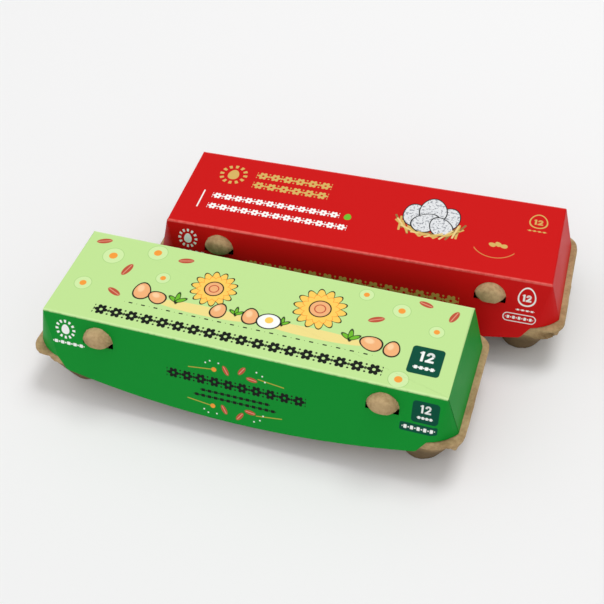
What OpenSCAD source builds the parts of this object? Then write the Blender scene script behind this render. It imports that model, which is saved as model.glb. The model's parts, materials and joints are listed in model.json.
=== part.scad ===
// Two twelve-egg cartons standing side by side.
// Each is a moulded pulp tray with two rows of cells under a folded printed card cover.
// X runs along the cartons, the front flaps face -Y, and Z = 0 is the ground.
// The origin lies on the ground under the middle of the pair's bounding box.

/* [Cover] */
// Length of the cover's top panel
top_length = 274; // [266:1:278]
// Width of the cover's top panel, from crease to crease
top_width = 80; // [76:1:84]
// Height of the cover's top face above the ground
top_height = 68; // [66:1:74]
// Thickness of the card
card = 0.5; // [0.4:0.05:0.7]
// Depth of the front flap at its middle, measured along the card
flap_depth = 55.6; // [52:0.2:58]
// Height of the cover's shoulders above the tray's ledge
shoulder_lift = 0.5; // [0.4:0.1:2]
// Distance from the middle to the end of each shoulder, where the corner fold starts
shoulder_at = 127.6; // [124:0.2:129]
// How far the skirt's corners step in from the shoulders
skirt_step = 5.6; // [4:0.1:7]
// How far the skirt's corners drop below the shoulders
skirt_drop = 7.8; // [6:0.1:8.6]
// Half the length of the skirt's curved lower edge
skirt_half = 120.5; // [112:0.5:121]
// How far the skirt's lower edge bows down between its ends
skirt_bow = 11.6; // [8:0.2:12.4]
// Depth of the back panel, measured along the card
back_depth = 41; // [40:0.1:42]
// How far the folded corners' tips lie in from the creases
tip_inset = 2.1; // [1:0.1:4]
// How far short of the tips' plane the corner folds turn
fold_round = 6.5; // [2:0.1:8]
// Width of the ledge left outside the end panels' feet
end_seat = 4; // [3:0.1:4.6]

/* [Button holes] */
// Distance from the carton's middle to each hole
hole_at = 97.3; // [90:0.1:104]
// Radius of each hole's arch
hole_radius = 10.9; // [9:0.1:12]
// Depth of each hole's straight lower edge below the crease
hole_depth = 19.6; // [18.6:0.1:21]
// Height of each hole's straight sides
hole_side = 3.2; // [2:0.1:4]
// How far each button stands out of the card
button_rise = 7.5; // [5:0.1:8]
// Half the width of each button's flat lower edge
button_foot = 5; // [3:0.1:8]
// Depth below the crease of the point that a button's lower corners curve round
button_middle = 8; // [6:0.5:10]

/* [Tray] */
// Distance between cells along the tray
pitch_x = 48.4; // [47.6:0.1:48.8]
// Distance between the two rows of cells
pitch_y = 51; // [50:0.1:51.4]
// Cells in each row
columns = 6; // [5:1:6]
// Radius of each cell's flat foot
foot_radius = 13.5; // [12:0.5:16]
// Outer radius of each cell where it meets the web
cell_radius = 22; // [21:0.1:22.2]
// Thickness of the pulp
wall = 2.2; // [1.8:0.1:2.6]
// Height of the web between the cells
web_height = 28; // [25:0.5:29]
// Height of the tray's ledge
ledge_height = 34; // [33:0.5:36]
// Overall length of the tray
tray_length = 300.6; // [299:0.2:303]
// Overall width of the tray
tray_width = 100.8; // [100.4:0.2:102]
// Radius of the tray's corners
tray_corner = 12.5; // [11:0.5:15]
// Radius of the corners of the rim inside the ledge
tub_corner = 16; // [13:0.5:20]
// Height of the ledge's outer edge
lip_fall = 2.2; // [1.8:0.1:3]
// How far that edge leans out over its height
lip_flare = 0.8; // [0.4:0.1:1]
// Length of the nub under each corner of the ledge
nub_length = 4.6; // [2:0.2:6]
// Radius of each nub
nub_radius = 3; // [2.4:0.1:3.4]
// Outer radius of the posts where they leave the web
post_base = 11.5; // [10:0.1:12]
// Outer radius of the posts at their tops
post_tip = 6.4; // [5:0.1:8]
// Half the width of the lugs that carry the buttons
lug_half = 13.4; // [12.8:0.1:15]

/* [Clearances] */
// Gap between the card and the pulp that it lies against
seat_gap = 0.3; // [0.2:0.05:0.4]
// Gap round each button in its hole
button_gap = 0.4; // [0.3:0.05:0.6]
// Gap between the front and back cards and the end panels
corner_gap = 0.8; // [0.6:0.1:1.2]
// Gap under the top panel's front edge, where the flap bends
crease_gap = 0.2; // [0.15:0.05:0.3]

/* [Second carton] */
// How far the second carton stands along X from the first
pair_shift = 44; // [20:1:70]
// Gap left between the first carton's back panel and the second carton's front
pair_gap = 1.5; // [0.4:0.1:20]
// Turn of the second carton about its own middle
pair_turn = 1.9; // [0:0.1:3]

/* [Hidden] */
$fn = 48;
fold_steps = 5;
bow_steps = 16;
through = 1;

// The ledge's lower edge is the widest part of the tray
lip_x = tray_length / 2;
lip_y = tray_width / 2;
lip_height = ledge_height - lip_fall;
ledge_x = lip_x - lip_flare;

// The cells, the rim round them and the posts between them
row_y = pitch_y / 2;
column_x = [for (i = [0 : columns - 1]) (i - (columns - 1) / 2) * pitch_x];
post_x = [for (i = [0 : columns - 2]) (i - (columns - 2) / 2) * pitch_x];
cell_slope = (cell_radius - foot_radius) / web_height;
rim_radius = cell_radius + 0.1;
rim_x = column_x[columns - 1] + rim_radius;
rim_y = row_y + rim_radius;
post_top = top_height - card - seat_gap;
post_slope = (post_base - post_tip) / (post_top - web_height);

// The front and back cards lean out until their inner faces clear the ledge
half_length = top_length / 2;
half_width = top_width / 2;
side_fall = top_height - lip_height;
side_spread = lip_y - half_width;
side_lean = atan2(side_spread, side_fall)
    + asin((card + seat_gap) / norm([side_spread, side_fall]));
side_in = [0, cos(side_lean), -sin(side_lean)];

// The end panels lean out to stand near the ledge's edge
end_fall = top_height - ledge_height - seat_gap;
end_lean = atan((ledge_x - end_seat - half_length) / end_fall);
end_depth = end_fall / cos(end_lean) - card * tan(end_lean);

// The shoulders, the skirt and the folded corners of the front and back cards
shoulder_depth = (top_height - ledge_height - shoulder_lift) / cos(side_lean);
skirt_corner = [shoulder_at - skirt_step, shoulder_depth + skirt_drop];
tip_z = ledge_height + seat_gap + 0.2;
tip = [half_length + tan(end_lean) * (top_height - tip_z), tip_inset - half_width, tip_z];
shoulder = on_side(shoulder_at, shoulder_depth);
top_corner = [half_length, -half_width, top_height];
fold_guide = [tip[0] - fold_round, shoulder[1] + fold_round / 2, (tip[2] + shoulder[2]) / 2];
fold_curve = [for (i = [0 : fold_steps])
    let (t = i / fold_steps)
    pow(1 - t, 2) * shoulder + 2 * t * (1 - t) * fold_guide + t * t * tip];
fold_in = [for (i = [0 : fold_steps - 1])
    unit(cross(top_corner - fold_curve[i], fold_curve[i + 1] - fold_curve[i]))];
edge_out = concat(fold_curve, [top_corner]);
edge_in = [for (i = [0 : fold_steps + 1])
    edge_out[i] + card * (i == 0 || i > fold_steps ? side_in
        : i == fold_steps ? fold_in[fold_steps - 1]
        : unit(fold_in[i - 1] + fold_in[i]))];

// The skirt's lower edge is an arc of a circle
bow_radius = (pow(skirt_half, 2) + pow(skirt_bow, 2)) / (2 * skirt_bow);
bow_angle = asin(skirt_half / bow_radius);
bow = [for (i = [0 : bow_steps])
    let (turn = bow_angle * (2 * i / bow_steps - 1))
    [bow_radius * sin(turn), flap_depth - bow_radius * (1 - cos(turn))]];
front_edge = concat([[-skirt_corner[0], skirt_corner[1]]], bow, [skirt_corner]);
back_edge = [[-skirt_corner[0], back_depth], [skirt_corner[0], back_depth]];

// The buttons fit the holes and stay inside the path of the holes' lower edges
arch_depth = hole_depth - hole_side;
button_radius = hole_radius - button_gap;
button_reach = hole_depth - button_gap;
dome_sink = 6;
dome_lift = 4.7;
dome_radius = button_rise + dome_sink;
round_radius = norm([button_reach - button_middle, button_foot]);
lug_depth = (top_height - ledge_height + wall / 4) / cos(side_lean);

// The middle of the pair's bounding box
corner_x = lip_x - tray_corner;
corner_y = lip_y - tray_corner;
turned_x = corner_x * cos(pair_turn) + corner_y * sin(pair_turn) + tray_corner;
turned_y = corner_y * cos(pair_turn) + corner_x * sin(pair_turn) + tray_corner;
back_y = half_width + back_depth * sin(side_lean);
turned_back_y = back_y * cos(pair_turn) + skirt_corner[0] * sin(pair_turn);
front_y = half_width + flap_depth * sin(side_lean);
pair_offset = pair_gap + back_y * (1 + cos(pair_turn)) + skirt_corner[0] * sin(pair_turn);
middle_x = (pair_shift + turned_x - lip_x) / 2;
middle_y = (pair_offset + max(turned_y, turned_back_y) - front_y) / 2;

function unit(v) = v / norm(v);
function flip(p) = [-p[0], p[1], p[2]];
function reversed(list) = [for (i = [len(list) - 1 : -1 : 0]) list[i]];
function flipped(list) = [for (p = reversed(list)) flip(p)];
function on_side(x, depth) =
    [x, -half_width - depth * sin(side_lean), top_height - depth * cos(side_lean)];

module place_green() {
    translate([-middle_x, -middle_y, 0]) children();
}

module place_red() {
    translate([pair_shift - middle_x, pair_offset - middle_y, 0])
        rotate(pair_turn) children();
}

// Flat on the front card's outer face: X along the crease, Y down the card, Z inward
module on_front() {
    translate([0, -half_width, top_height]) rotate([-90 - side_lean, 0, 0]) children();
}

module at_holes() {
    for (side = [-1, 1]) translate([side * hole_at, 0, 0]) children();
}

module slab(half_x, half_y, radius, height) {
    linear_extrude(height) {
        square([2 * half_x, 2 * (half_y - radius)], center = true);
        square([2 * (half_x - radius), 2 * half_y], center = true);
        for (x = [-1, 1], y = [-1, 1])
            translate([x * (half_x - radius), y * (half_y - radius)]) circle(radius);
    }
}

// A slab whose sides draw in towards its top
module flared_slab(half_x, half_y, radius, height, flare) {
    flat_x = half_x - radius;
    flat_y = half_y - radius;
    rotate([90, 0, 90]) translate([0, 0, -flat_x]) linear_extrude(2 * flat_x)
        polygon([[-half_y, 0], [half_y, 0], [half_y - flare, height], [flare - half_y, height]]);
    rotate([90, 0, 0]) translate([0, 0, -flat_y]) linear_extrude(2 * flat_y)
        polygon([[-half_x, 0], [half_x, 0], [half_x - flare, height], [flare - half_x, height]]);
    for (x = [-1, 1], y = [-1, 1])
        translate([x * flat_x, y * flat_y, 0])
            cylinder(h = height, r1 = radius, r2 = radius - flare);
}

module ledge() {
    translate([0, 0, lip_height]) flared_slab(lip_x, lip_y, tray_corner, lip_fall, lip_flare);
}

module nubs() {
    reach = (tray_corner - nub_radius - 0.2) * sin(45);
    low = lip_height - nub_length;
    for (x = [-1, 1], y = [-1, 1])
        translate([x * (corner_x + reach), y * (corner_y + reach), low])
            cylinder(h = ledge_height - wall / 2 - low, r1 = 0.7 * nub_radius, r2 = nub_radius);
}

module cells() {
    height = web_height - wall / 2;
    for (x = column_x, y = [-row_y, row_y])
        translate([x, y, 0])
            cylinder(h = height, r1 = foot_radius, r2 = foot_radius + cell_slope * height);
}

module cell_hollows() {
    low = foot_radius + cell_slope * wall - wall;
    height = web_height + through - wall;
    for (x = column_x, y = [-row_y, row_y])
        translate([x, y, wall])
            cylinder(h = height, r1 = low, r2 = low + cell_slope * height);
}

module posts() {
    low = web_height - wall / 2;
    cap = 1.5;
    for (x = post_x) {
        translate([x, 0, low])
            cylinder(h = post_top - cap - low, r1 = post_base, r2 = post_tip);
        translate([x, 0, post_top - cap])
            cylinder(h = cap, r1 = post_tip, r2 = post_tip - cap);
    }
}

module post_hollows() {
    low = web_height - wall - through;
    height = post_top - wall - low;
    for (x = post_x)
        translate([x, 0, low])
            cylinder(h = height, r1 = post_base - wall, r2 = post_tip - wall + post_slope * wall);
}

// One lug: a flat plate behind the card, round at the top and rooted in the ledge
module lug() {
    translate([0, 0, card + seat_gap]) linear_extrude(wall) {
        translate([0, arch_depth]) circle(lug_half);
        translate([-lug_half, arch_depth]) square([2 * lug_half, lug_depth - arch_depth]);
    }
}

module button(inset, back) {
    intersection() {
        translate([0, arch_depth, 0]) sphere(button_radius - inset);
        translate([0, arch_depth - dome_lift, dome_sink]) sphere(dome_radius - inset);
        translate([0, button_middle, 0]) sphere(round_radius - inset);
        rotate([0, 90, 0]) cylinder(h = 4 * hole_radius, r = button_reach - inset, center = true);
        translate([-hole_radius, 0, -2 * button_rise])
            cube([2 * hole_radius, hole_depth, 2 * button_rise + back]);
    }
}

module tray() {
    difference() {
        union() {
            ledge();
            nubs();
            translate([0, 0, web_height - wall])
                slab(rim_x + wall, rim_y + wall, tub_corner + wall, ledge_height - web_height + wall);
            cells();
            on_front() at_holes() {
                lug();
                button(0, card + seat_gap + wall / 2);
            }
        }
        translate([0, 0, web_height])
            slab(rim_x, rim_y, tub_corner, ledge_height - web_height + through);
        cell_hollows();
        on_front() at_holes() button(wall, card + seat_gap + wall + through);
        post_hollows();
    }
    difference() {
        posts();
        post_hollows();
    }
}

module hole_shape() {
    intersection() {
        translate([0, arch_depth]) circle(hole_radius);
        translate([-hole_radius, 0]) square([2 * hole_radius, hole_depth]);
    }
    translate([-hole_radius, arch_depth]) square([2 * hole_radius, hole_side]);
}

// One leaning card with its folded corners, from the crease down to the given lower edge
module side_card(lower) {
    outer = concat(flipped(edge_out), [for (p = lower) on_side(p[0], p[1])], edge_out);
    inner = concat(flipped(edge_in), [for (p = lower) on_side(p[0], p[1]) + card * side_in], edge_in);
    count = len(outer);
    last = count - 1;
    left = fold_steps + 1;
    right = last - fold_steps - 1;
    outside = concat(
        [concat([last], [for (i = [right : -1 : left]) i], [0])],
        [for (i = [1 : fold_steps]) [0, i + 1, i]],
        [for (i = [right : last - 2]) [last, i + 1, i]]);
    inside = [for (face = outside) [for (i = reversed(face)) i + count]];
    rim = [for (i = [0 : last]) let (j = (i + 1) % count) each [[i, j, j + count], [i, j + count, i + count]]];
    polyhedron(points = concat(outer, inner), faces = concat(outside, inside, rim));
}

module front_card() {
    difference() {
        side_card(front_edge);
        on_front() at_holes() translate([0, 0, -through])
            linear_extrude(card + 2 * through) hole_shape();
    }
}

module end_cards() {
    top_half = half_width - corner_gap;
    foot_half = half_width - tip_inset - corner_gap;
    for (side = [-1, 1])
        translate([side * half_length, 0, top_height])
            rotate([-90 - end_lean, 0, side * 90]) linear_extrude(card)
                polygon([[-top_half, 0], [top_half, 0], [foot_half, end_depth], [-foot_half, end_depth]]);
}

module cover() {
    translate([-half_length, -half_width, top_height - card]) cube([top_length, top_width, card]);
    end_cards();
    mirror([0, 1, 0]) side_card(back_edge);
}

module green_tray() {
    color([0.69, 0.58, 0.42]) place_green() tray();
}

module green_cover() {
    color([0.77, 0.9, 0.6]) place_green() cover();
}

module green_front_flap() {
    color([0.12, 0.53, 0.2]) place_green() difference() {
        front_card();
        translate([-top_length, -top_width, top_height - card - crease_gap])
            cube([2 * top_length, 2 * top_width, 2 * card]);
    }
}

module red_tray() {
    color([0.69, 0.58, 0.42]) place_red() tray();
}

module red_cover() {
    color([0.8, 0.1, 0.1]) place_red() {
        cover();
        front_card();
    }
}

green_tray();
green_cover();
green_front_flap();
red_tray();
red_cover();
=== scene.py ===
# %% [markdown]
# Two egg cartons stand side by side: a green one in front, and a red one behind it, turned a little.
# Each is a moulded pulp tray under a folded card cover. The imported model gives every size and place.
# This lesson gives the pulp its rough, rounded look, folds the covers with soft creases, and prints them
# with patterns that are drawn by shader maths alone.

# %% Load the frame
import json
import math

import bpy
import bmesh
from mathutils import Matrix, Vector


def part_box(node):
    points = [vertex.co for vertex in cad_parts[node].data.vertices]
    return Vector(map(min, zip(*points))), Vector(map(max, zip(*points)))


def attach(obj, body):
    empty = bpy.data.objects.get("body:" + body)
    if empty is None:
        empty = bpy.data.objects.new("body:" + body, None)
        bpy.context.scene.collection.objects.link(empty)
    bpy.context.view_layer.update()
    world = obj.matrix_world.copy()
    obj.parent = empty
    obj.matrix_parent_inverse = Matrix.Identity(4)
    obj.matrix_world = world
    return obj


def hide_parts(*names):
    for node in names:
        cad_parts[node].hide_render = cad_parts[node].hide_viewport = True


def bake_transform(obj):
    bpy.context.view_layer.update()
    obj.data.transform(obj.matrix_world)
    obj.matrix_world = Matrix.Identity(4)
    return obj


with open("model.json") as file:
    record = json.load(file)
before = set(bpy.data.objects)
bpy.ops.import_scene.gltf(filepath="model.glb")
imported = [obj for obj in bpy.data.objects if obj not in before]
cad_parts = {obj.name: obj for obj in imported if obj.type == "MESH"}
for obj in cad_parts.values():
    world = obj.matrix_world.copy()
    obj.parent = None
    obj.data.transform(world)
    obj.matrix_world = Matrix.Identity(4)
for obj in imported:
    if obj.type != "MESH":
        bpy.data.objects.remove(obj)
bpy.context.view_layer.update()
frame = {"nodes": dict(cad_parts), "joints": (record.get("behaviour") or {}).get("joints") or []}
print("nodes", sorted(frame["nodes"]))

# %% [markdown]
# Sizes are in metres, as everything in Blender is. The front flap's hinge lies on the front crease of the
# green cover, so it gives the green carton's middle. The red carton's tray is the same both ways round,
# so the middle of its box is the carton's middle.

# %% Sizes and places
MM = 0.001
NEAR = 0.1 * MM
TOP_LENGTH = 274 * MM
TOP_WIDTH = 80 * MM
CARD = 0.5 * MM
RED_TURN = math.radians(1.9)

hinge = Vector(frame["joints"][0]["pos_m"])
TOP_HEIGHT = hinge.z
flap_low, flap_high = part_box("green_front_flap")
SIDE_LEAN = math.atan2(hinge.y - flap_low.y, TOP_HEIGHT - flap_low.z)
green_middle = Vector((hinge.x, hinge.y + TOP_WIDTH / 2, 0))
red_low, red_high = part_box("red_tray")
red_middle = Vector(((red_low.x + red_high.x) / 2, (red_low.y + red_high.y) / 2, 0))
print("green middle", [round(c, 4) for c in green_middle], "red middle", [round(c, 4) for c in red_middle])

# %% [markdown]
# Operators act on whatever is selected, and the loaded nodes arrive selected. These two helpers select one
# object alone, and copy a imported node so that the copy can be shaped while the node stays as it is.

# %% Selecting and copying


def select_only(piece):
    """Make this piece the only one selected, and the active one."""
    bpy.ops.object.select_all(action="DESELECT")
    piece.select_set(True)
    bpy.context.view_layer.objects.active = piece


def copy_of_node(node, name):
    """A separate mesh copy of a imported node, with its loose triangles joined up."""
    source = frame["nodes"][node]
    piece = bpy.data.objects.new(name, source.data.copy())
    bpy.context.scene.collection.objects.link(piece)
    piece.data.materials.clear()
    select_only(piece)
    bpy.ops.object.mode_set(mode="EDIT")
    bpy.ops.mesh.select_all(action="SELECT")
    bpy.ops.mesh.remove_doubles(threshold=0.01 * MM)
    bpy.ops.object.mode_set(mode="OBJECT")
    return piece


def apply_modifiers(piece):
    select_only(piece)
    for modifier in list(piece.modifiers):
        bpy.ops.object.modifier_apply(modifier=modifier.name)


# %% [markdown]
# A pattern in a material is arithmetic on the surface's coordinates. Writing it as nodes by hand is slow
# to read, so one small class wraps a socket: adding, multiplying or comparing two of them adds the Math
# node that does it. Distances are in millimetres, so a shape's size can be read straight from the code.

# %% Shader maths in Python operators


class Value:
    """A number or vector that varies over a surface."""

    def __init__(self, paint, socket):
        self.paint = paint
        self.socket = socket

    def __add__(self, other):
        return self.paint.math("ADD", self, other)

    def __sub__(self, other):
        return self.paint.math("SUBTRACT", self, other)

    def __rsub__(self, other):
        return self.paint.math("SUBTRACT", other, self)

    def __mul__(self, other):
        return self.paint.math("MULTIPLY", self, other)

    def __abs__(self):
        return self.paint.math("ABSOLUTE", self)

    def __lt__(self, other):
        return self.paint.math("LESS_THAN", self, other)


class Paint:
    """A new material, and the methods that add nodes to it."""

    def __init__(self, name):
        self.material = bpy.data.materials.new(name)
        self.material.use_nodes = True
        self.tree = self.material.node_tree
        self.tree.nodes.clear()
        output = self.tree.nodes.new("ShaderNodeOutputMaterial")
        self.shader = self.tree.nodes.new("ShaderNodeBsdfPrincipled")
        self.tree.links.new(self.shader.outputs["BSDF"], output.inputs["Surface"])

    def put(self, value, socket):
        """Link a varying value to a socket, or set a constant on it."""
        if isinstance(value, Value):
            self.tree.links.new(value.socket, socket)
        elif isinstance(value, (tuple, list)) and socket.type == "RGBA" and len(value) == 3:
            socket.default_value = (*value, 1)
        else:
            socket.default_value = value

    def node(self, kind, settings=None, inputs=None, output=0):
        """Add any node: its settings first, then the values or links of its sockets."""
        node = self.tree.nodes.new(kind)
        for key, value in (settings or {}).items():
            setattr(node, key, value)
        for key, value in (inputs or {}).items():
            self.put(value, node.inputs[key])
        return Value(self, node.outputs[output])

    def math(self, operation, *values, clamp=False):
        inputs = {index: value for index, value in enumerate(values)}
        return self.node("ShaderNodeMath", {"operation": operation, "use_clamp": clamp}, inputs)

    def vector_math(self, operation, *values, output=0):
        inputs = {index: value for index, value in enumerate(values)}
        return self.node("ShaderNodeVectorMath", {"operation": operation}, inputs, output)

    def mix(self, first, second, factor):
        """The first colour where the factor is 0, the second where it is 1."""
        return self.node("ShaderNodeMix", {"data_type": "RGBA"}, {0: factor, 6: first, 7: second}, 2)

    def position(self):
        return self.node("ShaderNodeTexCoord", output="Object")

    def split(self, vector):
        node = self.tree.nodes.new("ShaderNodeSeparateXYZ")
        self.put(vector, node.inputs[0])
        return [Value(self, socket) for socket in node.outputs]

    def join(self, x, y, z=0.0):
        return self.node("ShaderNodeCombineXYZ", inputs={0: x, 1: y, 2: z})

    def noise(self, vector, scale, detail=2.0, roughness=0.5):
        inputs = {"Vector": vector, "Scale": scale, "Detail": detail, "Roughness": roughness}
        return self.node("ShaderNodeTexNoise", inputs=inputs)

    def step(self, low, high, value):
        """0 below low, 1 above high, and a smooth rise between."""
        settings = {"interpolation_type": "SMOOTHSTEP"}
        inputs = {"Value": value, "From Min": low, "From Max": high}
        return self.node("ShaderNodeMapRange", settings, inputs)

    def bump(self, height, distance, strength=1.0):
        inputs = {"Height": height, "Distance": distance, "Strength": strength}
        return self.node("ShaderNodeBump", inputs=inputs)

    def finish(self, **sockets):
        """Set the shader's own sockets and hand back the material."""
        for name, value in sockets.items():
            self.put(value, self.shader.inputs[name.replace("_", " ").title().replace("Ior", "IOR")])
        return self.material


def rgb(red, green, blue):
    """A colour as it shows on a screen, 0 to 255, turned into the linear light that a shader takes."""
    def linear(part):
        part = part / 255
        return part / 12.92 if part <= 0.04045 else ((part + 0.055) / 1.055) ** 2.4
    return (linear(red), linear(green), linear(blue))


# %% [markdown]
# Moulded pulp is a felt of paper fibres. It is matt, mottled in light and dark tan, and covered in small
# pits and lumps from the wire mould. Large soft noise gives the mottling, fine noise the fibres, and both
# raise the surface through one Bump node. The photograph's feet are far darker than its ledge, mostly from
# shade. The colour here also darkens towards the bottom: that is painted shade, a tint chosen for looks.

# %% The pulp's finish
# Heights between which the painted shade on the pulp fades out.
PAINTED_SHADE_FULL_BELOW = 13 * MM
PAINTED_SHADE_GONE_ABOVE = 30 * MM


def pulp_finish():
    paint = Paint("pulp")
    place = paint.position()
    blotches = paint.noise(place, 70, 3, 0.6)
    lumps = paint.noise(place, 420, 4, 0.65)
    stretched = paint.vector_math("MULTIPLY", place, (1.0, 0.35, 1.6))
    fibres = paint.noise(stretched, 2200, 3, 0.7)
    light, dark, fleck = rgb(190, 163, 120), rgb(150, 122, 84), rgb(116, 90, 58)
    # The colour of the painted shade at the feet.
    foot = rgb(84, 68, 48)
    colour = paint.mix(dark, light, paint.step(0.32, 0.66, blotches * 0.55 + lumps * 0.45))
    colour = paint.mix(colour, fleck, paint.step(0.62, 0.78, fibres) * 0.45)
    # Painted shade: the colour darkens towards the bottom, fully below the lower height.
    low = 1 - paint.step(PAINTED_SHADE_FULL_BELOW, PAINTED_SHADE_GONE_ABOVE, paint.split(place)[2])
    colour = paint.mix(colour, foot, low * 0.8)
    height = lumps * 0.7 + fibres * 0.3
    return paint.finish(
        base_color=colour,
        roughness=paint.step(0.0, 1.0, lumps) * 0.12 + 0.84,
        specular_ior_level=0.25,
        normal=paint.bump(height, 0.5 * MM, 0.55))


pulp = pulp_finish()
print("pulp made with", len(pulp.node_tree.nodes), "nodes")

# %% [markdown]
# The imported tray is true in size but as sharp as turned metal. Wet pulp sags into its mould, so every edge
# of the real tray is soft and its walls wander. A voxel remesh turns the joined solid into one even skin,
# smoothing rounds the edges, and a cloud texture pushes the skin in and out by a fraction of a millimetre.
# The four corner cells are round at the foot and square up towards the corner of the ledge, so their outer
# quarters are pushed out along the diagonal, more and more with height.
# Each button stands on a lug behind the front panel. The holes in the card are dark beside the buttons'
# lower corners, so the lug is cut away there. The shape of that notch is a guess.

# %% The trays
VOXEL = 1.42 * MM
WANDER = 0.7 * MM
LUMP_SIZE = 9 * MM
CORNER_CELL = Vector((121 * MM, 25.5 * MM))
SQUARING = 5.2 * MM
BUTTON_AT = 97.3 * MM
NOTCH_OUT = 10.3 * MM
NOTCH_DOWN = 19.6 * MM
NOTCH_SLANT = math.radians(48)
NOTCH_SIZE = (6 * MM, 7 * MM, 10 * MM)
WEB_UNDERSIDE = 25.8 * MM


def square_up_corners(tray, middle, turn):
    """Push the corner cells' outer quarters out towards the corners of the ledge."""
    away = Matrix.Rotation(turn, 3, "Z")
    back = Matrix.Rotation(-turn, 3, "Z")
    for corner in tray.data.vertices:
        place = back @ (corner.co - middle)
        out = Vector((abs(place.x), abs(place.y))) - CORNER_CELL
        if out.x > 0 and out.y > 0 and place.z < WEB_UNDERSIDE:
            diagonal = 2 * out.x * out.y / out.length_squared
            reach = SQUARING * diagonal * place.z / WEB_UNDERSIDE * math.sqrt(0.5)
            step = Vector((math.copysign(reach, place.x), math.copysign(reach, place.y), 0))
            corner.co += away @ step


def cut_notches(tray, middle, turn):
    """Cut the lugs away beside the lower corners of the buttons."""
    panel = Matrix.Translation(middle) @ Matrix.Rotation(turn, 4, "Z")
    panel = panel @ Matrix.Translation((0, -TOP_WIDTH / 2, TOP_HEIGHT))
    panel = panel @ Matrix.Rotation(math.radians(90) - SIDE_LEAN, 4, "X")
    bpy.ops.object.select_all(action="DESELECT")
    cutters = []
    for button in [-BUTTON_AT, BUTTON_AT]:
        for side in [-1, 1]:
            bpy.ops.mesh.primitive_cube_add(size=1)
            place = Matrix.Translation((button + side * NOTCH_OUT, -NOTCH_DOWN, 0))
            slant = Matrix.Rotation(-side * NOTCH_SLANT, 4, "Z")
            bpy.context.object.matrix_world = panel @ place @ slant @ Matrix.Diagonal((*NOTCH_SIZE, 1))
            cutters.append(bpy.context.object)
    for cutter in cutters:
        cutter.select_set(True)
    bpy.ops.object.join()
    cutter = bpy.context.object
    cut = tray.modifiers.new("notches", "BOOLEAN")
    cut.operation = "DIFFERENCE"
    cut.object = cutter
    apply_modifiers(tray)
    bpy.data.objects.remove(cutter)


def make_tray(node, body, middle, turn):
    tray = copy_of_node(node, node + "_pulp")
    cut_notches(tray, middle, turn)
    select_only(tray)
    tray.data.remesh_voxel_size = VOXEL
    tray.data.use_remesh_fix_poles = False
    bpy.ops.object.voxel_remesh()
    square_up_corners(tray, middle, turn)
    soften = tray.modifiers.new("soften", "SMOOTH")
    soften.factor = 0.5
    soften.iterations = 3
    clouds = bpy.data.textures.new(node + "_clouds", "CLOUDS")
    clouds.noise_scale = LUMP_SIZE
    clouds.noise_depth = 3
    wander = tray.modifiers.new("wander", "DISPLACE")
    wander.texture = clouds
    wander.texture_coords = "LOCAL"
    wander.strength = WANDER
    apply_modifiers(tray)
    bpy.ops.object.shade_smooth()
    tray.data.materials.append(pulp)
    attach(tray, body)
    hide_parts(node)
    print(tray.name, len(tray.data.polygons), "faces")
    return tray


green_tray = make_tray("green_tray", "cartons", green_middle, 0)
red_tray = make_tray("red_tray", "cartons", red_middle, RED_TURN)

# %% [markdown]
# Print on a carton is flat shapes of ink. Each shape here is a distance: how far a point is from an
# outline, in millimetres, below zero inside it. A mask then turns a distance into ink or no ink, with a
# soft step a fraction of a millimetre wide, so edges are clean without being jagged.

# %% Shapes of ink
EDGE = 0.35


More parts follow.
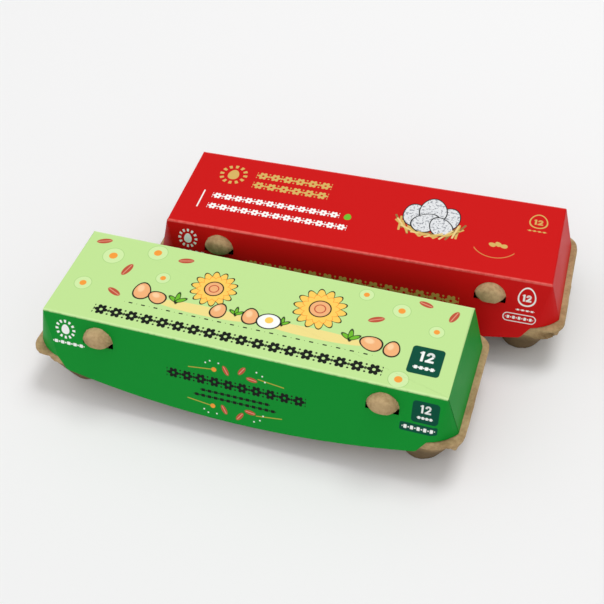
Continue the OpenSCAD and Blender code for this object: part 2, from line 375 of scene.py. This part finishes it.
class Inks:
    """Draws shapes on one flat panel: u runs to the right and v runs up, in millimetres."""

    def __init__(self, paint, u, v, colour=None, within=None):
        self.paint = paint
        self.place = paint.join(u, v)
        self.colour = colour
        self.within = within

    def at(self, centre, size=(1, 1), turn=0):
        """The panel's coordinates seen from a shape's own centre, turned and scaled to it."""
        inputs = {
            "Vector": self.place, "Location": (*centre, 0), "Rotation": (0, 0, math.radians(turn)),
            "Scale": (*size, 1)}
        return self.paint.node("ShaderNodeMapping", {"vector_type": "TEXTURE"}, inputs)

    def length(self, vector):
        return self.paint.vector_math("LENGTH", vector, output=1)

    def fill(self, distance, edge=EDGE):
        mask = self.paint.math("MULTIPLY_ADD", distance, -1 / edge, 0.5, clamp=True)
        return mask if self.within is None else mask * self.within

    def line(self, distance, width):
        """Ink along an outline, half of its width to each side."""
        return self.fill(abs(distance) - width / 2)

    def ink(self, colour, mask):
        self.colour = self.paint.mix(self.colour, colour, mask)

    def circle(self, centre, radius):
        return self.length(self.at(centre)) - radius

    def oval(self, centre, half_u, half_v, turn=0):
        small = min(half_u, half_v)
        scaled = self.at(centre, (half_u, half_v), turn)
        return self.paint.math("MULTIPLY_ADD", self.length(scaled), small, -small)

    def bar(self, centre, half_u, half_v, radius=0.2, turn=0):
        """A box with rounded corners."""
        corner = self.paint.vector_math("ABSOLUTE", self.at(centre, turn=turn))
        beyond = self.paint.vector_math("SUBTRACT", corner, (half_u - radius, half_v - radius, 0))
        return self.length(self.paint.vector_math("MAXIMUM", beyond, (0, 0, 0))) - radius

    def egg(self, centre, half_u, half_v, turn=0):
        """An oval that is narrower towards its top."""
        x, y, _ = self.paint.split(self.at(centre, (half_u, half_v), turn))
        narrow = x * (y * 0.16 + 1.0)
        small = min(half_u, half_v)
        return (self.length(self.paint.join(narrow, y)) - 1.0) * small

    def flower(self, centre, radius, petals, depth=0.3, turn=0):
        """A round flower whose outline swings in and out once for each petal."""
        x, y, _ = self.paint.split(self.at(centre, turn=turn))
        angle = self.paint.math("ARCTAN2", y, x)
        wave = abs(self.paint.math("COSINE", angle * (petals / 2)))
        reach = wave * (depth * radius) + (1 - depth) * radius
        return self.length(self.at(centre)) - reach

    def both(self, first, second):
        """Where two shapes overlap."""
        return self.paint.math("MAXIMUM", first, second)

    def either(self, first, second):
        return self.paint.math("MINIMUM", first, second)

    def row(self, centre, pitch, count):
        """A row of places along u: a motif drawn in it shows at each, mirrored both ways."""
        x, y, _ = self.paint.split(self.at(centre))
        if count % 2:
            cell = self.paint.math("WRAP", x, pitch / 2, -pitch / 2)
        else:
            cell = self.paint.math("WRAP", x, pitch, 0) - pitch / 2
        return Inks(self.paint, abs(cell), abs(y), within=abs(x) < pitch * count / 2)


# %% [markdown]
# Plain numbers are drawn the way a stencil cutter would: a 1 is two strokes, and a 2 is a half ring, a
# slanting stroke and a foot.

# %% Plain numbers


def twelve(inks, centre, height, weight):
    """The distance to a plain 12, as tall as asked, with strokes of the given weight."""
    u, v = centre
    half = height / 2
    stroke = weight / 2
    bowl = height * 0.21
    one_u = u - height * 0.36
    two_u = u + height * 0.24
    bowl_v = v + half - bowl - stroke
    stem = inks.bar((one_u, v), stroke, half, stroke * 0.3)
    flag = inks.bar((one_u - height * 0.1, v + half - height * 0.13), height * 0.14, stroke * 0.8, 0.1, 38)
    ring = abs(inks.circle((two_u, bowl_v), bowl)) - stroke
    arch = inks.both(ring, inks.bar((two_u, bowl_v + bowl * 0.75), 2 * bowl, bowl, 0.1))
    slant = inks.bar((two_u, v - height * 0.16), height * 0.34, stroke * 0.9, stroke * 0.3, 47)
    foot = inks.bar((two_u, v - half + stroke), bowl + stroke * 1.2, stroke, stroke * 0.2)
    return inks.either(inks.either(stem, flag), inks.either(arch, inks.either(slant, foot)))


# %% [markdown]
# Every panel needs its own flat coordinates. A point is first moved to its carton's middle and turned back
# by the carton's turn. On the top panel u and v are then simply X and Y, and on the leaning front panel v
# is the way down the card from the crease, found by dividing the fall by the cosine of the lean.

# %% Panel coordinates


def carton_coordinates(paint, middle, turn):
    """Millimetres from a carton's own middle, along it, across it, and down from its top."""
    inputs = {
        "Vector": paint.position(), "Location": middle, "Rotation": (0, 0, turn), "Scale": (MM, MM, MM)}
    x, y, z = paint.split(paint.node("ShaderNodeMapping", {"vector_type": "TEXTURE"}, inputs))
    return x, y, TOP_HEIGHT / MM - z


def card_finish(paint, colour, across, down, wear_and_highlight):
    """Printed card: a faint tooth, slow ripples in the sheet, and ink paler along the creases, partly from
    wear and partly a painted highlight.
    """
    place = paint.position()
    tooth = paint.noise(place, 1600, 2, 0.5)
    cloud = paint.noise(place, 26, 2, 0.5)
    near_edge = paint.step(TOP_WIDTH / MM / 2 - 1.7, TOP_WIDTH / MM / 2 - 0.7, abs(across))
    near_top = 1 - paint.step(0.6, 1.6, down)
    scuffs = paint.step(0.3, 0.6, paint.noise(place, 300, 3, 0.6))
    # Paler along the creases: partly ink wear, partly a painted highlight where the rounded crease catches
    # the light.
    colour = paint.mix(colour, wear_and_highlight, near_edge * near_top * (scuffs * 0.35 + 0.3))
    return paint.finish(
        base_color=colour,
        roughness=paint.step(0.3, 0.7, cloud) * 0.07 + 0.4,
        specular_ior_level=0.08,
        normal=paint.bump(tooth * 0.25 + cloud, 0.28 * MM, 0.35))


# %% [markdown]
# The inks are flat colours. Each is written as it shows on a screen.

# %% Inks
PALE_GREEN = rgb(193, 228, 149)
DEEP_GREEN = rgb(10, 142, 46)
DARK_INK = rgb(22, 26, 22)
BADGE_GREEN = rgb(0, 78, 58)
WHITE_INK = rgb(248, 250, 246)
YELLOW = rgb(250, 206, 96)
PEACH = rgb(242, 178, 122)
BLUSH = rgb(250, 208, 160)
ORANGE = rgb(246, 158, 62)
LEAF_BROWN = rgb(190, 84, 60)
LEAF_VEIN = rgb(232, 160, 130)
STRAW = rgb(240, 222, 140)
OCHRE = rgb(196, 172, 70)
FRESH_GREEN = rgb(112, 188, 48)
RED = rgb(204, 18, 18)
GOLD = rgb(214, 178, 98)
# Paler red along the creases: partly wear, partly painted highlight.
RED_WEAR_AND_HIGHLIGHT = rgb(236, 120, 110)
SPECKLE_GREY = rgb(150, 152, 158)
SHELL_WHITE = rgb(226, 228, 230)
OLD_GOLD = rgb(196, 156, 76)
DARK_STRAW = rgb(150, 112, 62)
PALE_STRAW = rgb(232, 206, 140)
DOT_GREEN = rgb(208, 236, 168)
DOT_RING = rgb(172, 212, 132)
# Paler greens along the creases: partly ink wear, partly painted highlight.
PALE_GREEN_WEAR_AND_HIGHLIGHT = rgb(208, 238, 170)
GREEN_WEAR_AND_HIGHLIGHT = rgb(90, 190, 100)

# %% [markdown]
# The motifs are small recipes: an outlined shape, a leaf with its vein, an egg with a pale highlight, a
# sunflower, a tuft of grass, and a badge with a plain number on it.

# %% Motifs


def outlined(inks, distance, colour, width=0.9):
    """A filled shape with a dark line round it."""
    inks.ink(colour, inks.fill(distance))
    inks.ink(DARK_INK, inks.line(distance, width))


def leaf(inks, centre, length, turn):
    inks.ink(LEAF_BROWN, inks.fill(inks.oval(centre, length / 2, length / 4.6, turn)))
    inks.ink(LEAF_VEIN, inks.fill(inks.bar(centre, length * 0.42, 0.3, 0.2, turn)))


def ringed_dot(inks, centre, radius):
    ring = inks.circle(centre, radius)
    inks.ink(DOT_GREEN, inks.fill(ring))
    inks.ink(DOT_RING, inks.line(ring, 0.5))
    inks.ink(ORANGE, inks.fill(inks.circle(centre, radius * 0.4)))


def brown_egg(inks, centre, size, turn):
    u, v = centre
    outlined(inks, inks.egg(centre, size * 0.78, size, turn), PEACH)
    highlight = inks.oval((u - size * 0.2, v + size * 0.25), size * 0.3, size * 0.42, turn)
    inks.ink(BLUSH, inks.fill(highlight, edge=1.2))


def sunflower(inks, centre, radius):
    outlined(inks, inks.flower(centre, radius, 14, 0.26), YELLOW, 1.0)
    inks.ink(ORANGE, inks.line(inks.flower(centre, radius * 0.72, 14, 0.2, 13), 0.7))
    outlined(inks, inks.circle(centre, radius * 0.4), PEACH, 0.9)
    inks.ink(LEAF_BROWN, inks.line(inks.circle(centre, radius * 0.2), 0.8))


def tuft(inks, centre, size):
    """Three blades of grass."""
    u, v = centre
    for turn, reach in [(150, 0.5), (95, 0.62), (35, 0.5)]:
        angle = math.radians(turn)
        middle = (u + size * 0.4 * math.cos(angle), v + size * 0.4 * math.sin(angle))
        outlined(inks, inks.oval(middle, size * reach, size * 0.2, turn), FRESH_GREEN, 0.5)


def dashes(inks, centre, pitch, count, half_u, half_v, colour):
    """A row of short strokes with a bead between each two."""
    row = inks.row(centre, pitch, count)
    stroke = row.bar((0, 0), half_u, half_v, min(half_u, half_v) * 0.5)
    bead = row.circle((pitch / 2, 0), min(half_u, half_v) * 0.5)
    inks.ink(colour, row.fill(row.either(stroke, bead)))


def garland(inks, centre, pitch, count, half_v, colour):
    """A bold border of open-eyed blooms, with a diamond and two beads between each two."""
    row = inks.row(centre, pitch, count)
    bloom = row.flower((0, 0), half_v, 6, 0.36)
    eye = half_v * 0.24 - row.length(row.at((0, 0)))
    diamond = row.bar((pitch / 2, 0), half_v * 0.22, half_v * 0.22, 0.15, 45)
    bead = row.circle((pitch / 2, half_v * 0.66), half_v * 0.16)
    inks.ink(colour, row.fill(row.either(row.both(bloom, eye), row.either(diamond, bead))))


def badge(inks, centre, half_u, half_v, height, ground, ink):
    """A rounded plate with a plain 12 and a row of beads under it."""
    u, v = centre
    inks.ink(ground, inks.fill(inks.bar(centre, half_u, half_v, 2.4)))
    inks.ink(ink, inks.fill(twelve(inks, (u, v + half_v * 0.3), height, height * 0.2)))
    dashes(inks, (u, v - half_v * 0.52), height * 0.42, 4, height * 0.13, height * 0.16, ink)


def emblem(inks, centre, radius, ink):
    """A plain device: an egg inside a ring of short rays."""
    x, y, _ = inks.paint.split(inks.at(centre))
    angle = inks.paint.math("ARCTAN2", y, x)
    rays = inks.paint.step(-0.1, 0.25, inks.paint.math("COSINE", angle * 12))
    ring = inks.line(inks.circle(centre, radius), radius * 0.34)
    egg = inks.fill(inks.egg(centre, radius * 0.46, radius * 0.6))
    inks.ink(ink, inks.paint.math("MAXIMUM", ring * rays, egg))


# %% [markdown]
# The green carton's top is pale green. Two sunflowers stand on straw between outlined eggs and grass, with
# ringed dots and leaves scattered at both ends, a dark garland along the front and a badge on the right.
# Its sides are a deeper green, and the pale ink stops at the creases.

# %% The green top's print


def green_top_print(inks):
    dots_left = [((-113, 20), 7.5), ((-84, 31), 7), ((-71, 9), 5), ((-122, -10), 6)]
    dots_right = [((92, 24), 6), ((118, 12), 5), ((104, -33), 6.5), ((66, 32), 5)]
    for centre, radius in dots_left + dots_right:
        ringed_dot(inks, centre, radius)
    leaves_left = [((-125, 32), 11, 20), ((-98, 10), 12, 75), ((-98, -12), 11, -25), ((-62, 29), 11, 15)]
    leaves_right = [((78, 12), 11, 25), ((126, 28), 11, 70), ((106, 34), 10, -15)]
    for centre, length, turn in leaves_left + leaves_right:
        leaf(inks, centre, length, turn)
    for centre, half_u in [((-34, -12), 34), ((42, -11), 36)]:
        inks.ink(STRAW, inks.fill(inks.oval(centre, half_u, 4.2)))
    for centre, size in [((-54, -9), 8), ((-12, -9), 6), ((66, -9), 8), ((20, -9), 6)]:
        tuft(inks, centre, size)
    sunflower(inks, (-34, 9), 16)
    sunflower(inks, (40, 11), 18)
    eggs_left = [((-80, -6), 7.5, 8), ((-68, -9), 6.5, 68), ((-24, -9), 6.5, -12)]
    eggs_right = [((-2, -8), 7, 10), ((80, -9), 7.5, 78), ((94, -10), 6.5, -4)]
    for centre, size, turn in eggs_left + eggs_right:
        brown_egg(inks, centre, size, turn)
    outlined(inks, inks.oval((11, -9), 8, 6.5, 8), WHITE_INK)
    inks.ink(YELLOW, inks.fill(inks.circle((11, -8), 2.8)))
    dashes(inks, (-2, -18.5), 9, 19, 1.4, 0.5, DARK_INK)
    garland(inks, (-6, -29.5), 11, 18, 4.6, DARK_INK)
    badge(inks, (117, -14), 10.5, 11.5, 8.4, BADGE_GREEN, WHITE_INK)


def sides_mask(paint, down):
    """1 below the creases and 0 on the top panel."""
    return paint.step(0.3, 0.75, down)


green_paint = Paint("green_print")
along, across, down = carton_coordinates(green_paint, green_middle, 0)
inks = Inks(green_paint, along, across, PALE_GREEN)
green_top_print(inks)
green_colour = green_paint.mix(inks.colour, DEEP_GREEN, sides_mask(green_paint, down))
green_print = card_finish(green_paint, green_colour, across, down, PALE_GREEN_WEAR_AND_HIGHLIGHT)
print("green print made with", len(green_print.node_tree.nodes), "nodes")

# %% [markdown]
# The flap carries its own ink, in coordinates that run down the card from the crease: an emblem and a
# badge at its ends, and a garland over two fine rows in the middle, with sprigs above and below.

# %% The green flap's print


def sprig(inks, centre, flip):
    """Leaves, a berry, small white dots and two trailing stalks."""
    u, v = centre
    for side in [-1, 1]:
        inks.ink(OCHRE, inks.fill(inks.bar((u + side * 24, v - flip * 2), 9, 0.3, 0.2, side * flip * -7)))
    for du, dv, turn in [(-7, 0, -60), (4, 2.5 * flip, 55), (11, -2.5 * flip, -8)]:
        leaf(inks, (u + du, v + dv), 7.5, turn)
    inks.ink(ORANGE, inks.fill(inks.circle((u - 15, v - flip), 1.7)))
    for du, dv in [(-21, 3), (-18, 5), (-12, 4.5), (14, 4), (18, 2), (20, -2)]:
        inks.ink(WHITE_INK, inks.fill(inks.circle((u + du, v + dv * flip), 0.55)))


def flap_panel_print(inks):
    emblem(inks, (-121, -12), 6.2, WHITE_INK)
    dashes(inks, (-119, -22.5), 4.6, 5, 1.3, 1.2, WHITE_INK)
    sprig(inks, (0, -16), 1)
    garland(inks, (0, -26.5), 9.6, 10, 4, DARK_INK)
    dashes(inks, (0, -34.6), 4.4, 11, 1.4, 1.1, DARK_INK)
    dashes(inks, (0, -39), 4.4, 13, 1.4, 1.1, DARK_INK)
    sprig(inks, (0, -46.5), -1)
    badge(inks, (124.5, -13.6), 8.6, 8, 6, BADGE_GREEN, WHITE_INK)
    inks.ink(BADGE_GREEN, inks.fill(inks.bar((121.3, -26.4), 12, 3.2, 1.4)))
    dashes(inks, (121.3, -26.4), 4.2, 5, 1.0, 1.4, WHITE_INK)


flap_paint = Paint("green_flap_print")
along, across, down = carton_coordinates(flap_paint, green_middle, 0)
card_down = down * (-1 / math.cos(SIDE_LEAN))
inks = Inks(flap_paint, along, card_down, DEEP_GREEN)
flap_panel_print(inks)
flap_print = card_finish(flap_paint, inks.colour, across, down, GREEN_WEAR_AND_HIGHLIGHT)
print("flap print made with", len(flap_print.node_tree.nodes), "nodes")

# %% [markdown]
# The red carton is one red all over. Its top has a gold emblem and gold rows, white rows beside an upright
# rule, a nest of speckled eggs, and gold devices on the right. Its front has a gold garland.

# %% The red print


def speckled_egg(inks, centre, size, turn, speckles):
    shape = inks.egg(centre, size * 0.78, size, turn)
    inks.ink(DARK_INK, inks.fill(shape - 0.4))
    inks.ink(SHELL_WHITE, inks.fill(shape + 0.4))
    inks.ink(SPECKLE_GREY, inks.fill(shape + 0.4) * speckles)


def nest(inks, centre):
    """Speckled eggs heaped in a ring of straw."""
    u, v = centre
    speckles = inks.paint.step(0.52, 0.6, inks.paint.noise(inks.place, 0.55, 3, 0.6))
    for step in range(16):
        angle = math.radians(190 + step * 160 / 15)
        middle = (u + 22 * math.cos(angle), v - 4 + 10 * math.sin(angle))
        turn = math.degrees(angle) + (72 if step % 2 else 108)
        inks.ink(GOLD if step % 3 else DARK_STRAW, inks.fill(inks.bar(middle, 7.5, 0.8, 0.6, turn)))
    behind = [(-11, 3, 12, 16), (11, 4, 12, -18), (0, 11, 12.5, 4)]
    in_front = [(-3, -3, 11, -40), (8, -5, 10, 30)]
    for du, dv, size, turn in behind + in_front:
        speckled_egg(inks, (u + du, v + dv), size, turn, speckles)
    for step in range(11):
        angle = math.radians(205 + step * 130 / 10)
        middle = (u + 21 * math.cos(angle), v - 3 + 12 * math.sin(angle))
        turn = math.degrees(angle) + (78 if step % 2 else 104)
        inks.ink(GOLD if step % 2 else PALE_STRAW, inks.fill(inks.bar(middle, 7, 0.7, 0.6, turn)))


def red_top_print(inks):
    emblem(inks, (-106, 19), 9, GOLD)
    garland(inks, (-60, 22.5), 9.6, 6, 4, GOLD)
    garland(inks, (-60, 11.5), 9.6, 6, 4, GOLD)
    inks.ink(WHITE_INK, inks.fill(inks.bar((-121, -12), 0.5, 9.5, 0.3)))
    garland(inks, (-66, -6.5), 8, 12, 3.2, WHITE_INK)
    garland(inks, (-62, -18), 8, 13, 3.2, WHITE_INK)
    inks.ink(FRESH_GREEN, inks.fill(inks.egg((-12, -6.5), 2.6, 3.2)))
    nest(inks, (46, 4))
    for du, turn in [(-4, 70), (0, 40), (4, 90)]:
        inks.ink(GOLD, inks.fill(inks.egg((96 + du, -9 + abs(du) * -0.3), 2, 2.6, turn)))
    arc = inks.both(abs(inks.circle((94, -6), 17)) - 0.35, inks.bar((94, -24), 14, 10))
    inks.ink(GOLD, inks.fill(arc) * 0.6)
    ring = inks.egg((120, 21), 6, 7)
    inks.ink(GOLD, inks.line(ring, 0.9))
    inks.ink(GOLD, inks.fill(twelve(inks, (120, 20), 5.4, 1.3)))
    dashes(inks, (120, 10.5), 3.4, 4, 0.9, 0.7, GOLD)


def red_front_print(inks):
    emblem(inks, (-121, -12), 6.2, WHITE_INK)
    dashes(inks, (-119, -22.5), 4.6, 5, 1.3, 1.2, WHITE_INK)
    garland(inks, (0, -25), 11, 14, 4.4, OLD_GOLD)
    ring = inks.egg((122, -12), 5.6, 6.8)
    inks.ink(WHITE_INK, inks.line(ring, 0.9))
    inks.ink(WHITE_INK, inks.fill(twelve(inks, (122, -13), 5.2, 1.3)))
    dashes(inks, (122, -22.5), 3.2, 4, 0.9, 0.6, WHITE_INK)
    pill = inks.bar((119, -29), 11, 3, 2.9)
    inks.ink(WHITE_INK, inks.line(pill, 0.6))
    dashes(inks, (119, -29), 3.8, 5, 0.9, 1.1, WHITE_INK)


red_paint = Paint("red_print")
along, across, down = carton_coordinates(red_paint, red_middle, RED_TURN)
inks = Inks(red_paint, along, across, RED)
red_top_print(inks)
red_top = inks.colour
inks = Inks(red_paint, along, down * (-1 / math.cos(SIDE_LEAN)), RED)
red_front_print(inks)
on_front = red_paint.step(0, 1, across * -1 - TOP_WIDTH / MM / 2 + 0.3)
red_side = red_paint.mix(RED, inks.colour, on_front)
red_colour = red_paint.mix(red_top, red_side, sides_mask(red_paint, down))
red_print = card_finish(red_paint, red_colour, across, down, RED_WEAR_AND_HIGHLIGHT)
print("red print made with", len(red_print.node_tree.nodes), "nodes")

# %% [markdown]
# The card's inner face is bare board, pale grey-white and more matt than the print.

# %% Bare board


def board_finish():
    paint = Paint("bare_board")
    place = paint.position()
    fibres = paint.noise(place, 900, 3, 0.6)
    cloud = paint.noise(place, 60, 2, 0.5)
    shade, pale = rgb(206, 204, 196), rgb(228, 227, 221)
    colour = paint.mix(shade, pale, paint.step(0.3, 0.7, fibres * 0.5 + cloud * 0.5))
    return paint.finish(base_color=colour, roughness=0.82, normal=paint.bump(fibres, 0.1 * MM, 0.4))


board = board_finish()

# %% [markdown]
# A cover is folded from one flat sheet, so it is modelled as a sheet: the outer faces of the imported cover
# are kept, everything else is deleted, the creases are bevelled to the small round that folded card has,
# and Solidify gives the sheet its thickness inwards, with bare board inside. The cut edges take the print's
# colour too, because a bare edge showed as a pale line that the photograph doesn't have.

# %% The covers
CREASE = 1.1 * MM
BEND = 1.3 * MM


def local(point, middle, turn):
    """A point in a carton's own directions, from the middle of its base."""
    return Matrix.Rotation(-turn, 3, "Z") @ (point - middle)


def is_outer(face, middle, turn):
    """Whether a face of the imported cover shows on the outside."""
    normal = Matrix.Rotation(-turn, 3, "Z") @ face.normal
    centre = local(face.calc_center_median(), middle, turn)
    if normal.z > 0.99:
        return centre.z > TOP_HEIGHT - NEAR
    if not 0.1 < normal.z < 0.6:
        return False
    if abs(normal.x) > 0.94:
        return normal.x * centre.x > 0
    return abs(normal.y) > 0.2 and normal.y * centre.y > 0


def skin_of(node, name, middle, turn):
    """The outer faces of a packed cover as one sheet of few faces."""
    skin = copy_of_node(node, name)
    mesh = bmesh.new()
    mesh.from_mesh(skin.data)
    mesh.normal_update()
    hidden = [face for face in mesh.faces if not is_outer(face, middle, turn)]
    bmesh.ops.delete(mesh, geom=hidden, context="FACES")
    mesh.to_mesh(skin.data)
    mesh.free()
    select_only(skin)
    bpy.ops.object.mode_set(mode="EDIT")
    bpy.ops.mesh.select_all(action="SELECT")
    bpy.ops.mesh.dissolve_limited(angle_limit=math.radians(0.5))
    bpy.ops.object.mode_set(mode="OBJECT")
    return skin


def select_edges(piece, chosen):
    """Select the edges for which chosen(edge) is true, and nothing else."""
    mesh = bmesh.new()
    mesh.from_mesh(piece.data)
    for face in mesh.faces:
        face.select = False
    for edge in mesh.edges:
        edge.select = chosen(edge)
    mesh.select_flush_mode()
    count = sum(edge.select for edge in mesh.edges)
    mesh.to_mesh(piece.data)
    mesh.free()
    return count


def round_creases(skin):
    """Bevel the edges that lie on the top panel's outline and have a face on each side."""
    select_only(skin)
    bpy.ops.object.mode_set(mode="EDIT")
    bpy.ops.mesh.select_mode(type="EDGE")
    bpy.ops.object.mode_set(mode="OBJECT")
    count = select_edges(skin, lambda edge: len(edge.link_faces) == 2 and all(
        corner.co.z > TOP_HEIGHT - 0.05 * MM for corner in edge.verts))
    if count:
        bpy.ops.object.mode_set(mode="EDIT")
        bpy.ops.mesh.bevel(offset=CREASE, segments=4, affect="EDGES")
        bpy.ops.object.mode_set(mode="OBJECT")
    print(skin.name, "creases", count)


def move_edge(skin, chosen, step):
    """Slide one straight edge of a sheet, to make room for the bend."""
    for corner in skin.data.vertices:
        if chosen(corner.co):
            corner.co += Vector(step)


def thicken_card(card, print_material):
    """Give a sheet its thickness inwards, with bare board behind the print."""
    thicken = card.modifiers.new("card", "SOLIDIFY")
    thicken.thickness = CARD
    thicken.offset = -1
    thicken.use_even_offset = True
    thicken.material_offset = 1
    card.data.materials.append(print_material)
    card.data.materials.append(board)
    apply_modifiers(card)
    bpy.ops.object.shade_smooth_by_angle(angle=math.radians(25))
    flatten = card.modifiers.new("flatten", "WEIGHTED_NORMAL")
    flatten.keep_sharp = True
    flatten.weight = 90
    apply_modifiers(card)
    print(card.name, len(card.data.polygons), "faces")


FALL = Vector((0, -math.sin(SIDE_LEAN), -math.cos(SIDE_LEAN)))

green_cover = skin_of("green_cover", "green_cover_card", green_middle, 0)
move_edge(green_cover, lambda co: co.y < hinge.y + NEAR and co.z > TOP_HEIGHT - NEAR, (0, BEND, 0))
round_creases(green_cover)
thicken_card(green_cover, green_print)
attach(green_cover, "cartons")
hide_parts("green_cover")

green_flap = skin_of("green_front_flap", "green_flap_card", green_middle, 0)
flap_top = flap_high.z - NEAR
flap_start = (TOP_HEIGHT - flap_high.z) / math.cos(SIDE_LEAN)
move_edge(green_flap, lambda co: co.z > flap_top, FALL * (BEND - flap_start))
thicken_card(green_flap, flap_print)
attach(green_flap, "flap")
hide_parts("green_front_flap")

red_cover = skin_of("red_cover", "red_cover_card", red_middle, RED_TURN)
round_creases(red_cover)
thicken_card(red_cover, red_print)
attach(red_cover, "cartons")
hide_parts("red_cover")

# %% [markdown]
# The green cover's top and front flap are one sheet of card, so the bend between them has to stay closed
# while the flap swings. A narrow strip is folded over the crease, and its fold is rounded.

# %% The crease strip
bpy.ops.object.select_all(action="DESELECT")
bpy.ops.mesh.primitive_plane_add(size=1, location=(hinge.x, hinge.y + BEND / 2, TOP_HEIGHT))
strip = bpy.context.object
strip.name = "green_crease"
strip.scale = (TOP_LENGTH, BEND, 1)
bpy.ops.object.transform_apply(location=True, rotation=True, scale=True)
bpy.ops.object.mode_set(mode="EDIT")
bpy.ops.mesh.select_mode(type="EDGE")
bpy.ops.object.mode_set(mode="OBJECT")
select_edges(strip, lambda edge: all(corner.co.y < hinge.y + NEAR for corner in edge.verts))
bpy.ops.object.mode_set(mode="EDIT")
bpy.ops.mesh.extrude_region_move(TRANSFORM_OT_translate={"value": FALL * BEND})
bpy.ops.object.mode_set(mode="OBJECT")
select_edges(strip, lambda edge: len(edge.link_faces) == 2)
bpy.ops.object.mode_set(mode="EDIT")
bpy.ops.mesh.bevel(offset=CREASE, segments=6, affect="EDGES")
bpy.ops.mesh.select_all(action="SELECT")
bpy.ops.mesh.normals_make_consistent(inside=False)
bpy.ops.object.mode_set(mode="OBJECT")
if strip.data.polygons[0].normal.z < 0:
    strip.data.flip_normals()
thicken_card(strip, green_print)
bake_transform(strip)

# %% [markdown]
# The pair stands on a plain pale floor. The camera repeats the photograph's angle: its lens and place were
# worked out from where the cartons' corners lie in the picture.

# %% Floor and camera
bpy.ops.mesh.primitive_plane_add(size=6, location=(0, 0, 0))
floor = bpy.context.object
floor.name = "floor"
floor_paint = Paint("floor")
floor.data.materials.append(floor_paint.finish(base_color=rgb(240, 240, 240), roughness=0.9))

LENS = 66.1
CAMERA_TURN = (43.92, 1.71, 17.73)
CAMERA_FROM_GREEN = Vector((196.6, -466.3, 596.3)) * MM

camera_data = bpy.data.cameras.new("camera")
camera_data.lens = LENS
camera_data.sensor_width = 36
camera_data.clip_start = 0.01
camera = bpy.data.objects.new("camera", camera_data)
bpy.context.scene.collection.objects.link(camera)
camera.location = green_middle + CAMERA_FROM_GREEN
camera.rotation_euler = [math.radians(angle) for angle in CAMERA_TURN]
bpy.context.scene.camera = camera

# %% [markdown]
# Soft studio light: one large lamp high above and a little behind, and a pale sky that fills the shadows.
# The sky is brighter in front and on the left, so the front panels are lighter than the right-hand ends.

# %% Light
BRIGHT_SIDE = Vector((-0.32, -0.68, 0.6)).normalized()
BRIGHT_SKY = 0.98
DIM_SKY = 0.05
KEY_PLACE = Vector((0.5, 0.95, 3.3))
KEY_AIM = Vector((0, 0, 0.03))
KEY_SIZE = 1.6
KEY_WATTS = 45

lamp_data = bpy.data.lights.new("key", "AREA")
lamp_data.shape = "DISK"
lamp_data.size = KEY_SIZE
lamp_data.energy = KEY_WATTS
lamp = bpy.data.objects.new("key", lamp_data)
bpy.context.scene.collection.objects.link(lamp)
lamp.location = KEY_PLACE
lamp.rotation_euler = (KEY_AIM - KEY_PLACE).to_track_quat("-Z", "Y").to_euler()

world = bpy.data.worlds.new("sky")
bpy.context.scene.world = world
world.use_nodes = True
tree = world.node_tree
sky = tree.nodes["Background"]
sky.inputs["Color"].default_value = (1, 1, 1, 1)
direction = tree.nodes.new("ShaderNodeTexCoord")
toward = tree.nodes.new("ShaderNodeVectorMath")
toward.operation = "DOT_PRODUCT"
toward.inputs[1].default_value = BRIGHT_SIDE
tree.links.new(direction.outputs["Generated"], toward.inputs[0])
level = tree.nodes.new("ShaderNodeMapRange")
level.inputs["From Min"].default_value = -1
level.inputs["From Max"].default_value = 1
level.inputs["To Min"].default_value = DIM_SKY
level.inputs["To Max"].default_value = BRIGHT_SKY
tree.links.new(toward.outputs["Value"], level.inputs["Value"])
tree.links.new(level.outputs["Result"], sky.inputs["Strength"])

bpy.context.scene.view_settings.view_transform = "Standard"
